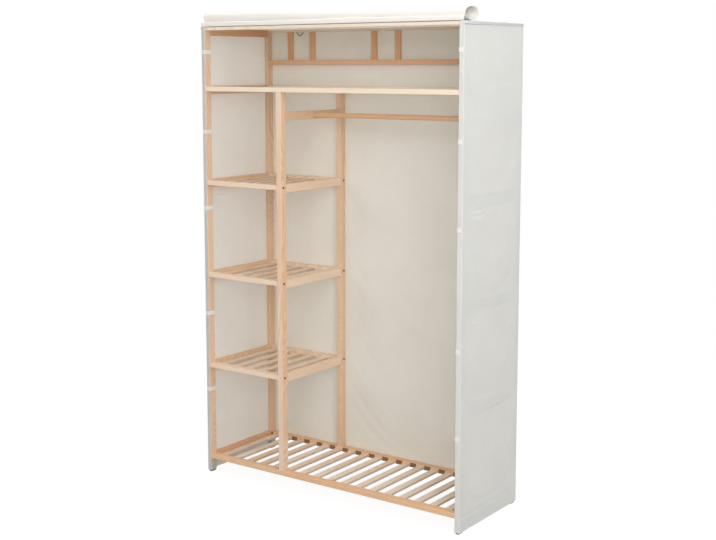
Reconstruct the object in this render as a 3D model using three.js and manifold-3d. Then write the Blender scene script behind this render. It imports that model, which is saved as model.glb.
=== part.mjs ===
// Portable fabric wardrobe: a knock-down pine frame with slatted shelves and a hanging rod,
// dressed in a cloth cover whose door is rolled up and laid on top.
// Millimetres. +Z is up, +X is to the right of someone facing the open front, and the front faces -Y.
import * as THREE from 'three';
import { mergeVertices } from 'three/addons/utils/BufferGeometryUtils.js';
import Module from 'manifold-3d';

// The timber frame, over its outer faces
const frameWidth = 1128;
const frameDepth = 390;
const frameHeight = 1698;

// Timber sections: the corner posts and the side rails between them are one stock, the divider's a
// wider one, the long rails a third
const cornerWidth = 16;
const dividerWidth = 22;
const postDepth = 30;
const railThickness = 17;
const topRailThickness = 12;
const easedEdge = 1.5;
const jointGap = 0.3;

// Upper faces of the long rails: the bottom one above the floor, the hat shelf's and the lattice's
// below the frame's top, and the column's shelves spaced down from the hat shelf
const bottomLevel = 70;
const hatCompartment = 218;
const latticeDrop = 119;
const shelfSpacing = 350;
const sideRailProud = 3;

// The divider stands between the column of shelves and the hanging bay
const columnWidth = 335;

// Slats run front to back and are let into the long rails
const slatWidth = 30;
const slatThickness = 8;
const slatPitch = 63.5;
const slatMargin = 12;
const slatTenon = 10;

// The hanging rod sits in blind sockets of two rails
const rodDiameter = 18;
const rodRailDrop = 87;
const rodSocketDepth = 12;
const rodClearance = 0.3;

// Back lattice: uprights in three pairs above a rail
const uprightWidth = 24;
const uprightThickness = 10;
const uprightSpacing = 107;
const pairOffsetShare = 0.353;

// Moulded feet, each pinned into the end of a post
const footHeight = 46;
const footPadHeight = 5;
const footPadInset = 1.5;
const footCornerRadius = 4;
const footPinDiameter = 8;
const footPinLength = 22;
const footPinClearance = 0.3;

// Cloth cover: separate sewn panels over the frame. Between the timbers the side panels sink in and
// the back panel stands out.
const clothThickness = 1.2;
const clothGap = 0.3;
const sideSink = 3;
const backSlack = 2;
const sideHemLevel = 5;
const backHemLevel = 50;
const hemDepth = 45;
const hemThickness = 0.8;
const facingWidth = 17;

// Straps that hold the cover's front edges round the front posts, one to each bay from the top down,
// and how far up its bay each one's middle is
const strapHeight = 15;
const strapThickness = 1.5;
const strapInset = 2;
const strapBayShares = [0.63, 0.55, 0.74, 0.58, 0.75];

// A loop of cord that ties the cover's top to the back rail
const tieWidth = 34;
const tieDrop = 16;
const tieCordWidth = 3;
const tieCordThickness = 1.5;

// The door, rolled up loosely: a wound sheet, wider than high and open at its core, whose lead swells
// up in front of it before it runs down to the seam
const rollDepth = 84;
const rollHeight = 52;
const rollTurns = 4.5;
const rollSheet = 1.6;
const rollLooseness = 1.9;
const rollOverhang = 5;
const leadSwell = 36;
const leadReach = 52;

// Facets
const rodFacets = 32;
const pinFacets = 16;
const cornerFacets = 4;
const bayColumns = 6;
const bayRows = 4;
const rollFacetsPerTurn = 24;
const leadFacets = 14;

const wasm = await Module();
wasm.setup();

const pine = new THREE.MeshStandardMaterial({ color: 0xe3c39c, roughness: 0.6, metalness: 0 });
const cloth = new THREE.MeshStandardMaterial({ color: 0xe6e5df, roughness: 0.95, metalness: 0 });
const tape = new THREE.MeshStandardMaterial({ color: 0xf3efe8, roughness: 0.9, metalness: 0 });
const plastic = new THREE.MeshStandardMaterial({ color: 0x9d9a92, roughness: 0.5, metalness: 0 });
const cord = new THREE.MeshStandardMaterial({ color: 0x4a443c, roughness: 0.8, metalness: 0 });

// Places that several pieces share
const halfWidth = frameWidth / 2;
const postInner = halfWidth - cornerWidth;
const backRailFront = frameDepth - postDepth;
const dividerLeft = -postInner + columnWidth;
const dividerRight = dividerLeft + dividerWidth;
const hatLevel = frameHeight - hatCompartment;
const latticeLevel = frameHeight - latticeDrop;
const rodRailLevel = hatLevel - rodRailDrop;
const topRailUnderside = frameHeight - topRailThickness;
const pairOffset = pairOffsetShare * frameWidth;
const shelfLevels = [1, 2, 3].map((count) => hatLevel - count * shelfSpacing);
const rodHeight = rodRailLevel - postDepth / 2;
const facingFront = -clothGap - clothThickness;
const coverSide = halfWidth + clothGap + clothThickness;
const coverBack = frameDepth + clothGap + clothThickness;
const coverTop = frameHeight + clothGap + clothThickness;
const strapFront = facingFront - clothGap - strapThickness;
const doorSeam = strapFront - clothGap;

const wardrobe = new THREE.Group();
// The origin is the middle of the footprint, on the floor
wardrobe.position.y = -(doorSeam + coverBack + Math.max(hemThickness, backSlack)) / 2;

// Solids for joining and cutting

function toSolid(geometry) {
  const plain = geometry.index ? geometry.toNonIndexed() : geometry.clone();
  plain.deleteAttribute('normal');
  plain.deleteAttribute('uv');
  const welded = mergeVertices(plain);
  return new wasm.Manifold(new wasm.Mesh({
    numProp: 3,
    vertProperties: new Float32Array(welded.attributes.position.array),
    triVerts: new Uint32Array(welded.index.array),
  }));
}

function toGeometry(solid) {
  const mesh = solid.getMesh();
  const geometry = new THREE.BufferGeometry();
  geometry.setAttribute('position', new THREE.BufferAttribute(mesh.vertProperties, 3));
  geometry.setIndex(new THREE.BufferAttribute(mesh.triVerts, 1));
  geometry.computeVertexNormals();
  return geometry;
}

// Adds one named piece to the wardrobe
function piece(name, geometry, material) {
  const mesh = new THREE.Mesh(geometry, material);
  mesh.name = name;
  wardrobe.add(mesh);
  return mesh;
}

// A closed outline in the X-Y plane, pulled up by height
function prism(points, height) {
  return new THREE.ExtrudeGeometry(new THREE.Shape(points), { depth: height, bevelEnabled: false });
}

// A planed bar between two corners, its long edges eased; along is its grain, x, y or z
function bar(low, high, along) {
  const size = high.clone().sub(low);
  const [across, up] = { x: [size.y, size.z], y: [size.z, size.x], z: [size.x, size.y] }[along];
  const a = across / 2;
  const b = up / 2;
  const outline = [
    [a, b - easedEdge], [a - easedEdge, b], [easedEdge - a, b], [-a, b - easedEdge],
    [-a, easedEdge - b], [easedEdge - a, -b], [a - easedEdge, -b], [a, easedEdge - b],
  ].map(([x, y]) => new THREE.Vector2(x, y));
  const geometry = prism(outline, size[along]);
  geometry.translate(0, 0, -size[along] / 2);
  // Turn the extrusion's own X, Y, Z onto the bar's across, up and along
  const turn = {
    x: new THREE.Matrix4().set(0, 0, 1, 0, 1, 0, 0, 0, 0, 1, 0, 0, 0, 0, 0, 1),
    y: new THREE.Matrix4().set(0, 1, 0, 0, 0, 0, 1, 0, 1, 0, 0, 0, 0, 0, 0, 1),
    z: new THREE.Matrix4(),
  }[along];
  geometry.applyMatrix4(turn);
  const middle = low.clone().add(high).multiplyScalar(1 / 2);
  geometry.translate(middle.x, middle.y, middle.z);
  return geometry;
}

// Uprights

function upright(left, width, front, low, high) {
  const from = new THREE.Vector3(left, front, low);
  const to = new THREE.Vector3(left + width, front + postDepth, high);
  return bar(from, to, 'z');
}

// A corner post, bored at its foot for the pin
function cornerPost(name, left, front) {
  const blank = upright(left, cornerWidth, front, footHeight + jointGap, frameHeight);
  const boreLength = footPinLength + 2 * jointGap;
  const bore = new THREE.CylinderGeometry(
    footPinDiameter / 2 + footPinClearance, footPinDiameter / 2 + footPinClearance, boreLength, pinFacets);
  bore.rotateX(Math.PI / 2);
  bore.translate(left + cornerWidth / 2, front + postDepth / 2, footHeight + boreLength / 2);
  piece(name, toGeometry(toSolid(blank).subtract(toSolid(bore))), pine);
}

// A foot: rounded block, pad inset under it, pin above it
function foot(name, left, front) {
  const block = roundedBlock(0, footPadHeight, footHeight);
  const pad = roundedBlock(footPadInset, 0, footPadHeight + jointGap);
  const pin = new THREE.CylinderGeometry(
    footPinDiameter / 2, footPinDiameter / 2, footPinLength + jointGap, pinFacets);
  pin.rotateX(Math.PI / 2);
  pin.translate(cornerWidth / 2, postDepth / 2, footHeight + (footPinLength - jointGap) / 2);
  const solid = toSolid(block).add(toSolid(pad)).add(toSolid(pin));
  piece(name, toGeometry(solid), plastic).position.set(left, front, 0);
}

// A block with a post's section, drawn in by inset, with rounded upright edges
function roundedBlock(inset, low, high) {
  const shape = new THREE.Shape();
  const x0 = inset;
  const y0 = inset;
  const x1 = cornerWidth - inset;
  const y1 = postDepth - inset;
  const r = footCornerRadius;
  shape.moveTo(x0 + r, y0);
  shape.lineTo(x1 - r, y0);
  shape.absarc(x1 - r, y0 + r, r, -Math.PI / 2, 0);
  shape.lineTo(x1, y1 - r);
  shape.absarc(x1 - r, y1 - r, r, 0, Math.PI / 2);
  shape.lineTo(x0 + r, y1);
  shape.absarc(x0 + r, y1 - r, r, Math.PI / 2, Math.PI);
  shape.lineTo(x0, y0 + r);
  shape.absarc(x0 + r, y0 + r, r, Math.PI, 3 * Math.PI / 2);
  const geometry = new THREE.ExtrudeGeometry(shape, {
    depth: high - low, bevelEnabled: false, curveSegments: cornerFacets,
  });
  geometry.translate(0, 0, low);
  return geometry;
}

// Rails

// A long rail runs across the wardrobe between two uprights, flat side up
function longRail(left, right, front, level, thickness = railThickness) {
  const from = new THREE.Vector3(left + jointGap, front, level - thickness);
  const to = new THREE.Vector3(right - jointGap, front + postDepth, level);
  return bar(from, to, 'x');
}

// A side rail runs from a front upright to the back one, on edge, in line with them
function sideRail(left, width, level) {
  const from = new THREE.Vector3(left, postDepth + jointGap, level - postDepth);
  const to = new THREE.Vector3(left + width, backRailFront - jointGap, level);
  return bar(from, to, 'y');
}

// A rod rail is a side rail with a blind socket in the face towards the hanging bay
function rodRail(name, left, width, socketFace, inward) {
  const socket = new THREE.CylinderGeometry(
    rodDiameter / 2 + rodClearance, rodDiameter / 2 + rodClearance, 2 * rodSocketDepth, rodFacets);
  socket.rotateZ(Math.PI / 2);
  socket.translate(socketFace, frameDepth / 2, rodHeight);
  const rail = toSolid(sideRail(left, width, rodRailLevel)).subtract(toSolid(socket));
  piece(name, toGeometry(rail), pine);
  return socketFace + inward * (rodSocketDepth - jointGap);
}

// Shelves

// Front and back rails joined by slats that are let into both
function slattedShelf(name, left, right, level) {
  let solid = toSolid(longRail(left, right, 0, level));
  solid = solid.add(toSolid(longRail(left, right, backRailFront, level)));
  const underside = level - railThickness;
  const firstSlat = left + slatMargin;
  const count = Math.floor((right - firstSlat - slatWidth) / slatPitch) + 1;
  for (let index = 0; index < count; index += 1) {
    const slatLeft = firstSlat + index * slatPitch;
    const from = new THREE.Vector3(slatLeft, postDepth - slatTenon, underside + easedEdge);
    const to = new THREE.Vector3(
      slatLeft + slatWidth, backRailFront + slatTenon, underside + easedEdge + slatThickness);
    solid = solid.add(toSolid(bar(from, to, 'y')));
  }
  piece(name, toGeometry(solid), pine);
}

// Cover

// The open bays of a panel: rectangles between the timbers that the cloth lies against
function baysBetween(uprights, rails) {
  const bays = [];
  for (let column = 1; column < uprights.length; column += 1) {
    for (let row = 1; row < rails.length; row += 1) {
      bays.push({
        left: uprights[column - 1][1],
        right: uprights[column][0],
        low: rails[row - 1][1],
        high: rails[row][0],
      });
    }
  }
  return bays;
}

// How far the cloth stands off its flat: nothing along the timbers, all its slack amid a bay, outwards
// if the slack is positive
function standOff(bays, slack, x, z) {
  const bay = bays.find(({ left, right, low, high }) => x > left && x < right && z > low && z < high);
  if (!bay) {
    return 0;
  }
  const across = Math.sin(Math.PI * (x - bay.left) / (bay.right - bay.left));
  const up = Math.sin(Math.PI * (z - bay.low) / (bay.high - bay.low));
  return slack * across ** 2 * up;
}

// The lines of a sheet's grid from start to end: the edges of its timbers, and even steps over each
// bay between them
function gridLines(start, timbers, end, steps) {
  const lines = [];
  timbers.forEach(([near, far], index) => {
    const last = index > 0 ? timbers[index - 1][1] : near;
    for (let step = 1; step < steps && index > 0; step += 1) {
      lines.push(last + (near - last) * step / steps);
    }
    lines.push(near, far);
  });
  return [start, ...lines.filter((line) => line > start && line < end), end];
}

// A sheet of cloth in the X-Z plane whose outer face looks towards +Y. It hangs from high to low,
// lies against the uprights and rails, stands off between them and has a hem along its lower edge.
function hangingSheet(span, low, high, uprights, rails, slack) {
  const columns = gridLines(0, uprights, span, bayColumns);
  const hemTop = low + hemDepth;
  const rows = [low, hemTop, ...gridLines(hemTop + hemThickness, rails, high, bayRows)];
  const bays = baysBetween(uprights, rails);
  const geometry = new THREE.BoxGeometry(1, 1, 1, columns.length - 1, 1, rows.length - 1);
  const places = geometry.attributes.position;
  for (let index = 0; index < places.count; index += 1) {
    const column = Math.round((places.getX(index) + 1 / 2) * (columns.length - 1));
    const row = Math.round((places.getZ(index) + 1 / 2) * (rows.length - 1));
    const x = columns[column];
    const z = rows[row];
    const outerFace = z > hemTop ? clothThickness : clothThickness + hemThickness;
    const face = places.getY(index) > 0 ? outerFace : 0;
    places.setXYZ(index, x, face + standOff(bays, slack, x, z), z);
  }
  geometry.computeVertexNormals();
  return geometry;
}

// One side panel, hung over a front post, the side rails and a back post
function sidePanel(name, side, levels) {
  const span = coverBack;
  const uprights = [[0, postDepth], [backRailFront, frameDepth]];
  const rails = levels.map((level) => [level - postDepth, level]).sort(([low], [high]) => low - high);
  const geometry = hangingSheet(span, sideHemLevel, frameHeight, uprights, rails, -sideSink);
  // Lay the span along Y, the outer face towards -X
  geometry.rotateZ(Math.PI / 2);
  const panel = piece(name, side > 0 ? mirrored(geometry) : geometry, cloth);
  panel.position.x = side * (halfWidth + clothGap);
}

// The other hand of a piece, its faces still pointing out
function mirrored(geometry) {
  geometry.scale(-1, 1, 1);
  const order = geometry.index.array;
  for (let first = 0; first < order.length; first += 3) {
    [order[first], order[first + 2]] = [order[first + 2], order[first]];
  }
  geometry.computeVertexNormals();
  return geometry;
}

function backPanel(name, levels) {
  const uprights = [
    [0, cornerWidth],
    [dividerLeft + halfWidth, dividerRight + halfWidth],
    [postInner + halfWidth, frameWidth],
  ];
  const rails = levels.map((level) => [level - railThickness, level]);
  const geometry = hangingSheet(frameWidth, backHemLevel, frameHeight, uprights, rails, backSlack);
  piece(name, geometry, cloth).position.set(-halfWidth, frameDepth + clothGap, 0);
}

function topPanel(name) {
  const sheet = new THREE.BoxGeometry(2 * coverSide, coverBack - facingFront, clothThickness);
  piece(name, sheet, cloth).position.set(
    0, (coverBack + facingFront) / 2, coverTop - clothThickness / 2);
}

// The strip of the side panel that is turned over the front of the post
function facing(name, side) {
  const height = frameHeight - sideHemLevel;
  const strip = piece(name, new THREE.BoxGeometry(facingWidth, clothThickness, height), cloth);
  strip.position.set(
    side * (coverSide - facingWidth / 2), facingFront + clothThickness / 2, sideHemLevel + height / 2);
}

// A strap runs from its seam on the facing across the front of the post and back along its inner face
function strap(name, side, middle) {
  const reach = coverSide - strapInset - postInner + clothGap + strapThickness;
  const back = postDepth - strapInset;
  const outline = [
    [0, strapFront], [reach, strapFront], [reach, back], [reach - strapThickness, back],
    [reach - strapThickness, strapFront + strapThickness], [0, strapFront + strapThickness],
  ].map(([x, y]) => new THREE.Vector2(side * x, y));
  const geometry = prism(outline, strapHeight);
  const loop = piece(name, geometry, tape);
  loop.position.set(-side * (coverSide - strapInset), 0, middle - strapHeight / 2);
}

// A cord looped down from the back rail's underside, its two strands meeting in a V
function tieLoop(name, middle) {
  const half = tieWidth / 2;
  const outline = [
    [-half, 0], [tieCordWidth - half, 0], [0, tieCordWidth - tieDrop], [half - tieCordWidth, 0],
    [half, 0], [tieCordWidth / 2, -tieDrop], [-tieCordWidth / 2, -tieDrop],
  ].map(([x, y]) => new THREE.Vector2(x, y));
  const geometry = prism(outline, tieCordThickness);
  geometry.rotateX(Math.PI / 2);
  const head = topRailUnderside - jointGap;
  piece(name, geometry, cord).position.set(middle, backRailFront + postDepth / 2, head);
}

// Door

// The outline of a sheet of even thickness along a centre line, turned back at its end
function sheetOutline(line, thickness) {
  const near = [];
  const far = [];
  line.forEach((point, index) => {
    const before = line[Math.max(index - 1, 0)];
    const after = line[Math.min(index + 1, line.length - 1)];
    const along = after.clone().sub(before).normalize().multiplyScalar(thickness / 2);
    near.push(new THREE.Vector2(point.x + along.y, point.y - along.x));
    far.push(new THREE.Vector2(point.x - along.y, point.y + along.x));
  });
  return [...near, ...far.reverse()];
}

// The door's section from its seam: up into the swell, down and back under the roll, then round behind
// it, over its top and down its front, winding in
function doorSection() {
  const depth = (rollDepth - rollSheet) / 2;
  const height = (rollHeight - rollSheet) / 2;
  const underside = rollSheet / 2;
  const lead = new THREE.CubicBezierCurve(
    new THREE.Vector2(0, 0), new THREE.Vector2(0, leadSwell),
    new THREE.Vector2(leadReach / 4, underside), new THREE.Vector2(leadReach, underside));
  const line = lead.getPoints(leadFacets);
  const pitch = rollSheet + rollLooseness;
  const steps = Math.round(rollTurns * rollFacetsPerTurn);
  for (let step = 1; step <= steps; step += 1) {
    const wound = step / rollFacetsPerTurn;
    const angle = 2 * Math.PI * wound - Math.PI / 2;
    line.push(new THREE.Vector2(
      leadReach + (depth - wound * pitch) * Math.cos(angle),
      underside + height + (height - wound * pitch) * Math.sin(angle)));
  }
  return line;
}

function rolledDoor(name) {
  const length = 2 * (coverSide + rollOverhang);
  const geometry = prism(sheetOutline(doorSection(), rollSheet), length);
  // The section's X and Y become the wardrobe's Y and Z, and the roll lies along X
  geometry.applyMatrix4(new THREE.Matrix4().set(0, 0, 1, 0, 1, 0, 0, 0, 0, 1, 0, 0, 0, 0, 0, 1));
  piece(name, geometry, cloth).position.set(-length / 2, doorSeam + rollSheet / 2, coverTop + clothGap);
}

// Assembly

const corners = [
  ['front_left', -halfWidth, 0],
  ['front_right', postInner, 0],
  ['back_left', -halfWidth, backRailFront],
  ['back_right', postInner, backRailFront],
];
for (const [place, left, front] of corners) {
  cornerPost(`post_${place}`, left, front);
  foot(`foot_${place}`, left, front);
}

const dividerFoot = bottomLevel + jointGap;
const dividerHead = hatLevel - railThickness - jointGap;
const dividerPost = (front) => upright(dividerLeft, dividerWidth, front, dividerFoot, dividerHead);
piece('divider_post_front', dividerPost(0), pine);
piece('divider_post_back', dividerPost(backRailFront), pine);

const topRailFront = longRail(-postInner, postInner, 0, frameHeight, topRailThickness);
const topRailBack = longRail(-postInner, postInner, backRailFront, frameHeight, topRailThickness);
piece('top_rail_front', topRailFront, pine);
piece('top_rail_back', topRailBack, pine);
slattedShelf('hat_shelf', -postInner, postInner, hatLevel);
slattedShelf('bottom_shelf', -postInner, postInner, bottomLevel);

const shelfNames = ['upper', 'middle', 'lower'];
shelfLevels.forEach((level, index) => {
  slattedShelf(`column_shelf_${shelfNames[index]}`, -postInner, dividerLeft, level);
});

// Side rails of the two outer frames and of the divider
for (const [side, left] of [['left', -halfWidth], ['right', postInner]]) {
  piece(`side_rail_${side}_top`, sideRail(left, cornerWidth, frameHeight), pine);
  piece(`side_rail_${side}_hat`, sideRail(left, cornerWidth, hatLevel + sideRailProud), pine);
  piece(`side_rail_${side}_bottom`, sideRail(left, cornerWidth, bottomLevel + sideRailProud), pine);
}
const sideFrames = [
  ['left', -halfWidth, cornerWidth],
  ['divider', dividerLeft, dividerWidth],
  ['right', postInner, cornerWidth],
];
for (const [side, left, width] of sideFrames) {
  shelfLevels.forEach((level, index) => {
    const rail = sideRail(left, width, level + sideRailProud);
    piece(`side_rail_${side}_${shelfNames[index]}`, rail, pine);
  });
}

// Hanging rod between its two rails
const rodLeft = rodRail('rod_rail_divider', dividerLeft, dividerWidth, dividerRight, -1);
const rodRight = rodRail('rod_rail_right', postInner, cornerWidth, postInner, 1);
const rod = new THREE.CylinderGeometry(rodDiameter / 2, rodDiameter / 2, rodRight - rodLeft, rodFacets);
rod.rotateZ(Math.PI / 2);
piece('hanging_rod', rod, pine).position.set((rodLeft + rodRight) / 2, frameDepth / 2, rodHeight);

// Back lattice
piece('lattice_rail', longRail(-postInner, postInner, backRailFront, latticeLevel), pine);
const uprightPairs = [['left', -pairOffset], ['middle', 0], ['right', pairOffset]];
for (const [place, middle] of uprightPairs) {
  for (const [half, side] of [['a', -1], ['b', 1]]) {
    const left = middle + side * uprightSpacing / 2 - uprightWidth / 2;
    const from = new THREE.Vector3(left, frameDepth - uprightThickness, latticeLevel + jointGap);
    const to = new THREE.Vector3(left + uprightWidth, frameDepth, topRailUnderside - jointGap);
    piece(`lattice_upright_${place}_${half}`, bar(from, to, 'z'), pine);
  }
}

const sideLevels = [bottomLevel, ...shelfLevels, hatLevel].map((level) => level + sideRailProud);
sideLevels.push(frameHeight);
sidePanel('cover_side_left', -1, sideLevels);
sidePanel('cover_side_right', 1, [...sideLevels, rodRailLevel]);
backPanel('cover_back', [bottomLevel, hatLevel, latticeLevel, frameHeight]);
topPanel('cover_top');
facing('cover_facing_left', -1);
facing('cover_facing_right', 1);
const levelsDown = [frameHeight, hatLevel, ...shelfLevels, bottomLevel];
strapBayShares.forEach((share, index) => {
  const low = levelsDown[index + 1];
  const high = levelsDown[index] - railThickness;
  const middle = low + share * (high - low);
  strap(`strap_left_${index + 1}`, 1, middle);
  strap(`strap_right_${index + 1}`, -1, middle);
});
tieLoop('cover_tie_loop', -pairOffset);
rolledDoor('door_roll');

export default wardrobe;
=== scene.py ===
# %% [markdown]
# # A portable fabric wardrobe
#
# The real thing is a knock-down frame of planed pine, with slatted shelves on the left and a hanging
# rod on the right, dressed in an off-white cloth cover. The cover has no doors: its front is one
# sheet that is rolled up and lies on the top. This lesson starts from the CAD model, keeps its timber
# and feet as they are, and makes the cover again as sheets of cloth, with its stitches and straps.

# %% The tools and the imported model
import math

import bpy
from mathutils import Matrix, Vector, noise


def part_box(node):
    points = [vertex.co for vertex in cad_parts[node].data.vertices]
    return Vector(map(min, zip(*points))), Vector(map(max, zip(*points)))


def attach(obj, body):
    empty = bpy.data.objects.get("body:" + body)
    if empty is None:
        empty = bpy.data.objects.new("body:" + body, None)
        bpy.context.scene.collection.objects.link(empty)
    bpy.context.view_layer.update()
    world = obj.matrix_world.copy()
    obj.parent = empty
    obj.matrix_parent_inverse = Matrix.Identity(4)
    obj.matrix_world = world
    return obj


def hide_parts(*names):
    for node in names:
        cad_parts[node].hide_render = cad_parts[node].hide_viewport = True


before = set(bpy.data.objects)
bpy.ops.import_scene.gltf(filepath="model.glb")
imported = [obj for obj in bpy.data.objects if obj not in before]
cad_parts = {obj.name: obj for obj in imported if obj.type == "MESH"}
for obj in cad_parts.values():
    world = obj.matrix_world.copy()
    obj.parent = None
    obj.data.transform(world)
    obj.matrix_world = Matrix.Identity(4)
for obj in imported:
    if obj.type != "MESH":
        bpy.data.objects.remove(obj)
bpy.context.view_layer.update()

# %% [markdown]
# ## The camera
#
# The photograph was taken from the front right, a little above the middle, with a short telephoto
# lens. A camera fitted to the corners of the frame gives its place, and the small vertical shift
# takes up the crop of the picture.

# %% The camera
EYE_ASIDE, EYE_BEFORE, EYE_HEIGHT = 2.5830, 3.3828, 1.5522
LOOKS_DOWN, TURNED_LEFT = 7.4226, 35.759
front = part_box("post_front_left")[0].y
bpy.ops.object.select_all(action="DESELECT")
bpy.ops.object.camera_add(location=(EYE_ASIDE, front - EYE_BEFORE, EYE_HEIGHT),
                          rotation=(math.radians(90 - LOOKS_DOWN), 0, math.radians(TURNED_LEFT)))
camera = bpy.context.object
camera.data.lens = 61.52
camera.data.sensor_width = 36
camera.data.shift_x, camera.data.shift_y = 0.0007, -0.0608
bpy.context.scene.camera = camera
bpy.context.scene.view_settings.view_transform = "Standard"

# %% [markdown]
# ## Helpers for materials
#
# A material is a small graph of nodes. Written out in full, a graph hides its idea behind dozens of
# lines, so a few helpers add a node and link it in one call: `add` for any node, `maths` and `times`
# for sums, and others for what most materials here need. Colours are given as they look on a
# screen, from 0 to 255, and turned into linear light.


# %% Helpers for materials
def paint(red, green, blue):
    """A colour as a screen shows it, in linear light"""
    share = [value / 255 for value in (red, green, blue)]
    return [x / 12.92 if x <= 0.04045 else ((x + 0.055) / 1.055) ** 2.4 for x in share] + [1]


def feed(tree, socket, value):
    if isinstance(value, bpy.types.NodeSocket):
        tree.links.new(value, socket)
    else:
        socket.default_value = value


def add(tree, kind, settings=None, **inputs):
    """A new node, with its settings and its inputs by name"""
    node = tree.nodes.new("ShaderNode" + kind)
    for name, value in (settings or {}).items():
        setattr(node, name, value)
    for name, value in inputs.items():
        feed(tree, node.inputs[name.replace("_", " ")], value)
    return node


def maths(tree, operation, *values):
    node = tree.nodes.new("ShaderNodeMath")
    node.operation = operation
    for socket, value in zip(node.inputs, values):
        feed(tree, socket, value)
    return node.outputs[0]


def times(tree, first, second):
    return maths(tree, "MULTIPLY", first, second)


def blend_colours(tree, share, first, second):
    node = tree.nodes.new("ShaderNodeMix")
    node.data_type = "RGBA"
    feed(tree, node.inputs[0], share)
    feed(tree, node.inputs[6], first)
    feed(tree, node.inputs[7], second)
    return node.outputs[2]


def spread(tree, value, low, high, start=0.0, end=1.0):
    """A value between low and high, stretched to go from start to end"""
    return add(tree, "MapRange", None, Value=value, From_Min=low, From_Max=high,
               To_Min=start, To_Max=end).outputs[0]


def place_of(tree, kind="Object"):
    return add(tree, "TexCoord").outputs[kind]


def axes_of(tree, kind="Object"):
    """The three numbers of a point's place"""
    return add(tree, "SeparateXYZ", None, Vector=place_of(tree, kind)).outputs


def stretched(tree, place, scales):
    """A point whose numbers are each scaled on their own"""
    sizes = {axis: times(tree, value, scale) for axis, value, scale in zip("XYZ", place, scales)}
    return add(tree, "CombineXYZ", None, **sizes).outputs[0]


def mottle(tree, place, detail, scale=1.0, kind="Fac"):
    return add(tree, "TexNoise", None, Vector=place, Scale=scale, Detail=detail).outputs[kind]


def relief(tree, surface, height, strength, distance):
    """Relief too fine for the mesh, distance metres deep at the most"""
    bump = add(tree, "Bump", None, Strength=strength, Distance=distance, Height=height)
    feed(tree, surface.inputs["Normal"], bump.outputs[0])


def new_material(name, roughness):
    made = bpy.data.materials.new(name)
    made.use_nodes = True
    surface = made.node_tree.nodes["Principled BSDF"]
    surface.inputs["Roughness"].default_value = roughness
    return made, made.node_tree, surface


# %% [markdown]
# ## Pine
#
# Planed pine shows pale early wood with darker, narrow late-wood lines that run the length of a
# board. A picture of wood wrapped round a board gives itself away at the ends, so this material is
# solid: rings stand round a pith that wanders slowly along the board, and every face and end cuts
# through them. From board to board the direction of the grain changes, and so do the shades. The
# shades also carry painted light and shade: paler sets on the lit top rails and shelves, warmer and
# darker ones on pieces in shade, and warmer side faces on the uprights.


# %% Pine
# Boards that lie in different cells of this size have tones of their own
CELLS = (0.37, 0.37, 0.35)
# Beside the wood's own tone, these sets carry painted light and shade: the cream and pale ones go on the lit
# top rails and shelves, the middle, warm and rod sets on the rear posts, lattice, rod and side rails in shade
CREAM_BOARD = (paint(255, 247, 234), paint(253, 238, 216), paint(240, 214, 182))
PALE_BOARD = (paint(253, 236, 216), paint(249, 222, 194), paint(233, 196, 158))
MIDDLE_BOARD = (paint(245, 219, 192), paint(236, 201, 166), paint(217, 174, 133))
WARM_BOARD = (paint(247, 206, 168), paint(241, 186, 142), paint(214, 150, 106))
UPRIGHT_BOARD = (paint(250, 236, 220), paint(244, 206, 172), paint(220, 176, 136))
FLOOR_SHELF_BOARD = (paint(255, 248, 236), paint(243, 200, 158), paint(226, 186, 146))
ROD_WOOD = (paint(244, 208, 172), paint(236, 188, 146), paint(214, 160, 114))
FIBRE = paint(186, 138, 92)
RING_WIDTH = 0.0042


def pine_rings(tree, across, up, along):
    """How far a point is through its ring, from 0 at the early wood to 1 at the late wood's edge"""
    slow = stretched(tree, (across, up, along), (2.1, 2.1, 0.55))
    drift = add(tree, "SeparateXYZ", None, Vector=mottle(tree, slow, 1.5, 1.7, "Color")).outputs
    side = maths(tree, "MULTIPLY_ADD", drift[0], 0.36, maths(tree, "ADD", across, -0.16))
    height = maths(tree, "MULTIPLY_ADD", drift[1], 0.36, maths(tree, "ADD", up, -0.15))
    radius = maths(tree, "SQRT", maths(tree, "ADD", times(tree, side, side), times(tree, height, height)))
    return maths(tree, "FRACT", maths(tree, "DIVIDE", radius, RING_WIDTH))


def pine_surface(tree, surface, shades, across, up, along, tone):
    """Colour, gloss and fibres of a board whose grain runs along `along`"""
    ring = pine_rings(tree, across, up, along)
    late = add(tree, "ValToRGB", None, Fac=ring)
    ramp = late.color_ramp.elements
    ramp[0].position, ramp[0].color = 0.15, (0, 0, 0, 1)
    ramp[1].position, ramp[1].color = 1, (0.15, 0.15, 0.15, 1)
    ramp.new(0.86).color = (1, 1, 1, 1)
    point = (across, up, along)
    fibre = mottle(tree, stretched(tree, point, (900.0, 900.0, 16.0)), 3.0)
    patch = mottle(tree, stretched(tree, point, (9.0, 9.0, 1.6)), 2.0)
    warm = maths(tree, "ADD", spread(tree, patch, 0.3, 0.7, 0.0, 0.75), tone)
    base = blend_colours(tree, warm, shades[0], shades[1])
    base = blend_colours(tree, times(tree, late.outputs[0], 0.5), base, shades[2])
    base = blend_colours(tree, spread(tree, fibre, 0.35, 0.75, 0.0, 0.13), base, FIBRE)
    feed(tree, surface.inputs["Base Color"], base)
    feed(tree, surface.inputs["Roughness"], spread(tree, fibre, 0.3, 0.7, 0.5, 0.66))
    relief(tree, surface, maths(tree, "MULTIPLY_ADD", late.outputs[0], 0.35, fibre), 0.35, 0.00012)


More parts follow.
